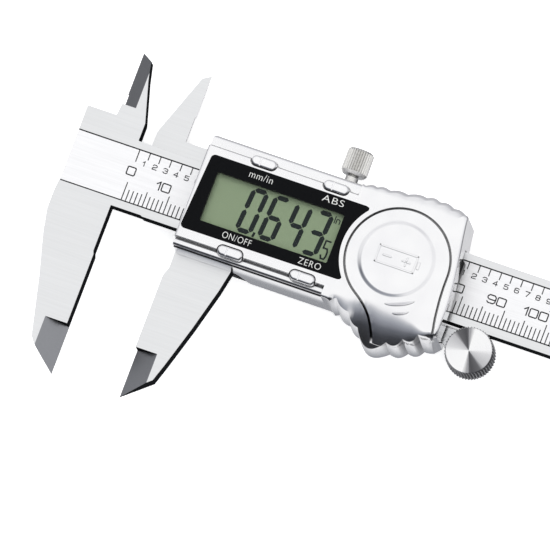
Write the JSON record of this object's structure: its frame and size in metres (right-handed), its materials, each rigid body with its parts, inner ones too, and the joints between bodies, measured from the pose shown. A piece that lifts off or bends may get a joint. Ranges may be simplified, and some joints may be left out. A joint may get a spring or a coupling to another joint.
{
  "type": "digital caliper",
  "caption": "Digital caliper with outside and inside jaws, depth rod, sliding display housing, lock screw, thumb roller and lift-off battery cover.",
  "frame": {"origin": "on the fixed outside jaw's measuring face, 20 mm below the beam's lower edge and half-way through the beam's thickness: the zero of every length that the caliper measures", "axes": "+X along the beam towards its far end, the way the slider opens; +Y across the beam towards the inside jaws; +Z out of the display, away from the surface the caliper lies on"},
  "size_m": [0.2529, 0.0756, 0.0152],
  "materials": {
    "ground_steel": "fine-ground stainless steel, satin",
    "scale_print": "satin light face with dark printed graduations",
    "board_green": "solder-masked board",
    "plate_steel": "brushed stainless sheet",
    "screw_steel": "machined screw steel",
    "bronze": "spring bronze",
    "contact_plate": "plated spring contact",
    "housing_chrome": "bright satin chrome plate",
    "button_chrome": "polished chrome plate",
    "bezel_black": "gloss black",
    "lens_clear": "clear acrylic window",
    "display_glass": "reflective liquid crystal display",
    "dark_plastic": "moulded black plastic",
    "grey_rubber": "striped connector elastomer",
    "black_rubber": "moulded rubber ring",
    "cell_steel": "nickel-plated pressed steel",
    "wiper_felt": "dense black felt",
    "knurled_steel": "turned and knurled steel"
  },
  "bodies": {
    "beam": {"beam": "ground_steel", "scale_board": "board_green", "scale_face": "scale_print", "end_stop": "ground_steel", "end_stop_screws": "screw_steel"},
    "slider": {"slider_frame": "ground_steel", "gib_strip": "bronze", "gib_screws": "screw_steel", "back_plate": "plate_steel", "back_plate_screws": "screw_steel", "depth_rod": "ground_steel", "depth_rod_screws": "screw_steel", "housing": "housing_chrome", "housing_screws": "screw_steel", "bezel": "bezel_black", "window_lens": "lens_clear", "lcd_glass": "display_glass", "lcd_frame": "dark_plastic", "zebra_strips": "grey_rubber", "main_board": "board_green", "board_chips": "dark_plastic", "crystal": "cell_steel", "tact_switches": "dark_plastic", "battery_cell": "cell_steel", "contact_positive": "contact_plate", "contact_negative": "contact_plate", "cover_seal": "black_rubber", "wiper_left": "wiper_felt", "wiper_right": "wiper_felt", "roller_bracket": "plate_steel", "bracket_screws": "screw_steel"},
    "lock_pad": {"lock_pad": "bronze"},
    "lock_screw": {"lock_screw": "knurled_steel"},
    "roller": {"roller_wheel": "knurled_steel", "roller_clip": "screw_steel"},
    "battery_cover": {"battery_cover": "housing_chrome"},
    "button_units": {"button_units": "button_chrome"},
    "button_abs": {"button_abs": "button_chrome"},
    "button_power": {"button_power": "button_chrome"},
    "button_zero": {"button_zero": "button_chrome"}
  },
  "joints": [
    {"name": "slider_slide", "type": "slide", "parent": "beam", "child": "slider", "axis": [1, 0, 0], "range_m": [-0.01634, 0.13365]},
    {"name": "lock_press", "type": "slide", "parent": "slider", "child": "lock_pad", "axis": [0, -1, 0], "range_m": [-0.001, 0.00008]},
    {"name": "lock_turn", "type": "hinge", "parent": "lock_pad", "child": "lock_screw", "pos_m": [0.0482, 0.05, 0], "axis": [0, -1, 0], "range_deg": [-722, 60]},
    {"name": "roller_spin", "type": "hinge", "parent": "slider", "child": "roller", "pos_m": [0.08785, 0.0143, 0.0036], "axis": [0, 0, 1], "range_deg": [-166, 1346]},
    {"name": "button_units_press", "type": "slide", "parent": "slider", "child": "button_units", "axis": [0, 0, -1], "range_m": [0, 0.0004], "stiffness_N_per_m": 800},
    {"name": "button_abs_press", "type": "slide", "parent": "slider", "child": "button_abs", "axis": [0, 0, -1], "range_m": [0, 0.0004], "stiffness_N_per_m": 800},
    {"name": "button_power_press", "type": "slide", "parent": "slider", "child": "button_power", "axis": [0, 0, -1], "range_m": [0, 0.0004], "stiffness_N_per_m": 800},
    {"name": "button_zero_press", "type": "slide", "parent": "slider", "child": "button_zero", "axis": [0, 0, -1], "range_m": [0, 0.0004], "stiffness_N_per_m": 800},
    {"name": "battery_cover_lift", "type": "slide", "parent": "slider", "child": "battery_cover", "axis": [0, 0, 1], "range_m": [0, 0.02]}
  ],
  "couplings": [
    {"joint": "lock_turn", "follows": "lock_press", "rad_per_m": 12566},
    {"joint": "roller_spin", "follows": "slider_slide", "rad_per_m": 175.44}
  ]
}
